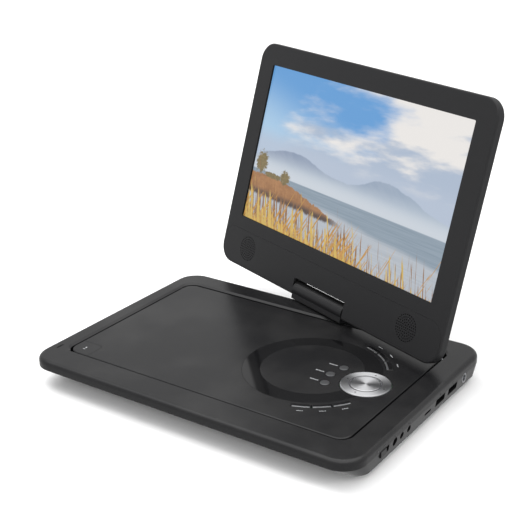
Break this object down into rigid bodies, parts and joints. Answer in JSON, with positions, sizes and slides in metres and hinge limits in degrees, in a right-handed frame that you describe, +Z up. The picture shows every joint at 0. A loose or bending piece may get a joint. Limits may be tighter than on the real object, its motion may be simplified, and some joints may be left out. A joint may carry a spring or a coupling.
{
  "type": "portable disc player",
  "caption": "Flat portable disc player: a base with a pop-up disc lid and key pads, and a wide screen on a swivel and tilt hinge.",
  "frame": {"origin": "centre of the flat label panel on the base's underside", "axes": "+X to the right along the base, +Y to the back where the hinge stands, +Z up"},
  "size_m": [0.2665, 0.2684, 0.2009],
  "materials": {
    "case_plastic": "fine satin texture",
    "gloss_black": "polished",
    "key_silver": "metallised",
    "rubber": "matte",
    "steel": "zinc plated",
    "socket_plastic": "moulded",
    "deck_plastic": "moulded",
    "board_green": "solder resist",
    "chip_black": "epoxy",
    "cell_wrap": "shrink wrap",
    "gear_white": "acetal",
    "lens_glass": "polished",
    "picture": "lit picture",
    "light_white": "diffuser",
    "lamp_lens": "clear",
    "brass_bush": "turned"
  },
  "bodies": {
    "base": {"top_case": "case_plastic", "bottom_case": "case_plastic", "rubber_feet": "rubber", "case_screws": "steel", "disc_deck": "deck_plastic", "traverse_tray": "steel", "guide_rods": "steel", "traverse_dampers": "rubber", "spindle_motor": "steel", "feed_motor": "steel", "main_board": "board_green", "board_chips": "chip_black", "battery_pack": "cell_wrap", "dc_jack": "socket_plastic", "headphone_jack": "socket_plastic", "av_jack": "socket_plastic", "usb_port_front": "steel", "usb_port_rear": "steel", "antenna_jack": "steel", "power_switch": "socket_plastic", "status_lamps": "lamp_lens", "swivel_bush": "brass_bush"},
    "lid": {"lid": "case_plastic", "lid_pins": "steel", "lid_liner": "deck_plastic", "trim_ring": "gloss_black", "key_board": "board_green"},
    "release": {"release_button": "case_plastic"},
    "swivel": {"swivel_shaft": "steel", "hinge_block": "case_plastic"},
    "screen": {"front_bezel": "case_plastic", "speaker_strip": "case_plastic", "back_cover": "case_plastic", "screen_screws": "steel", "lcd_panel": "picture", "backlight": "light_white", "driver_board": "board_green", "speaker_left": "chip_black", "speaker_right": "chip_black", "tilt_pins": "steel"},
    "spindle": {"turntable": "deck_plastic", "spindle_shaft": "steel"},
    "sled": {"laser_sled": "chip_black", "laser_lens": "lens_glass", "sled_rack": "gear_white"},
    "feed_gear": {"feed_gear": "gear_white"},
    "motor_pinion": {"motor_pinion": "gear_white"},
    "switch_knob": {"switch_knob": "gloss_black"},
    "round_key_1": {"round_key_1": "key_silver"},
    "round_key_2": {"round_key_2": "key_silver"},
    "round_key_3": {"round_key_3": "key_silver"},
    "arc_key_1": {"arc_key_1": "gloss_black"},
    "arc_key_2": {"arc_key_2": "gloss_black"},
    "arc_key_3": {"arc_key_3": "gloss_black"},
    "arc_key_4": {"arc_key_4": "gloss_black"},
    "arc_key_5": {"arc_key_5": "gloss_black"},
    "arc_key_6": {"arc_key_6": "gloss_black"},
    "pad_ring": {"pad_ring": "key_silver"},
    "pad_centre": {"pad_centre": "key_silver"}
  },
  "joints": [
    {"name": "screen_swivel", "type": "hinge", "parent": "base", "child": "swivel", "pos_m": [0, 0.0862, 0.019], "axis": [0, 0, 1], "range_deg": [-159.9, 20.1]},
    {"name": "screen_tilt", "type": "hinge", "parent": "swivel", "child": "screen", "pos_m": [0, 0.0862, 0.0261], "axis": [-0.9391, 0.3437, 0], "range_deg": [-105.3, 29.7]},
    {"name": "lid_open", "type": "hinge", "parent": "base", "child": "lid", "pos_m": [0, 0.0634, 0.0166], "axis": [-1, 0, 0], "range_deg": [0, 7.5]},
    {"name": "release_press", "type": "slide", "parent": "base", "child": "release", "axis": [0, 0, -1], "range_m": [0, 0.0008], "stiffness_N_per_m": 600},
    {"name": "turntable_spin", "type": "hinge", "parent": "base", "child": "spindle", "pos_m": [0.0444, 0.0009, 0.011], "axis": [0, 0, 1], "continuous": true},
    {"name": "sled_travel", "type": "slide", "parent": "base", "child": "sled", "axis": [-1, 0, 0], "range_m": [0, 0.034]},
    {"name": "feed_gear_turn", "type": "hinge", "parent": "base", "child": "feed_gear", "pos_m": [0.0049, -0.0247, 0.006], "axis": [0, 0, 1], "range_deg": [-1, 305.4]},
    {"name": "motor_pinion_turn", "type": "hinge", "parent": "base", "child": "motor_pinion", "pos_m": [0.0049, -0.0343, 0.006], "axis": [0, 0, 1], "range_deg": [-611, 2]},
    {"name": "power_switch_slide", "type": "slide", "parent": "base", "child": "switch_knob", "axis": [0, 1, 0], "range_m": [0, 0.0038]},
    {"name": "round_key_1_press", "type": "slide", "parent": "lid", "child": "round_key_1", "axis": [0, 0, -1], "range_m": [0, 0.0004], "stiffness_N_per_m": 400},
    {"name": "round_key_2_press", "type": "slide", "parent": "lid", "child": "round_key_2", "axis": [0, 0, -1], "range_m": [0, 0.0004], "stiffness_N_per_m": 400},
    {"name": "round_key_3_press", "type": "slide", "parent": "lid", "child": "round_key_3", "axis": [0, 0, -1], "range_m": [0, 0.0004], "stiffness_N_per_m": 400},
    {"name": "arc_key_1_press", "type": "slide", "parent": "lid", "child": "arc_key_1", "axis": [0, 0, -1], "range_m": [0, 0.0004], "stiffness_N_per_m": 400},
    {"name": "arc_key_2_press", "type": "slide", "parent": "lid", "child": "arc_key_2", "axis": [0, 0, -1], "range_m": [0, 0.0004], "stiffness_N_per_m": 400},
    {"name": "arc_key_3_press", "type": "slide", "parent": "lid", "child": "arc_key_3", "axis": [0, 0, -1], "range_m": [0, 0.0004], "stiffness_N_per_m": 400},
    {"name": "arc_key_4_press", "type": "slide", "parent": "lid", "child": "arc_key_4", "axis": [0, 0, -1], "range_m": [0, 0.0004], "stiffness_N_per_m": 400},
    {"name": "arc_key_5_press", "type": "slide", "parent": "lid", "child": "arc_key_5", "axis": [0, 0, -1], "range_m": [0, 0.0004], "stiffness_N_per_m": 400},
    {"name": "arc_key_6_press", "type": "slide", "parent": "lid", "child": "arc_key_6", "axis": [0, 0, -1], "range_m": [0, 0.0004], "stiffness_N_per_m": 400},
    {"name": "pad_ring_press", "type": "slide", "parent": "lid", "child": "pad_ring", "axis": [0, 0, -1], "range_m": [0, 0.0004], "stiffness_N_per_m": 400},
    {"name": "pad_centre_press", "type": "slide", "parent": "lid", "child": "pad_centre", "axis": [0, 0, -1], "range_m": [0, 0.0004], "stiffness_N_per_m": 400}
  ],
  "couplings": [
    {"joint": "feed_gear_turn", "follows": "sled_travel", "rad_per_m": 156.25},
    {"joint": "motor_pinion_turn", "follows": "sled_travel", "rad_per_m": -312.5}
  ]
}
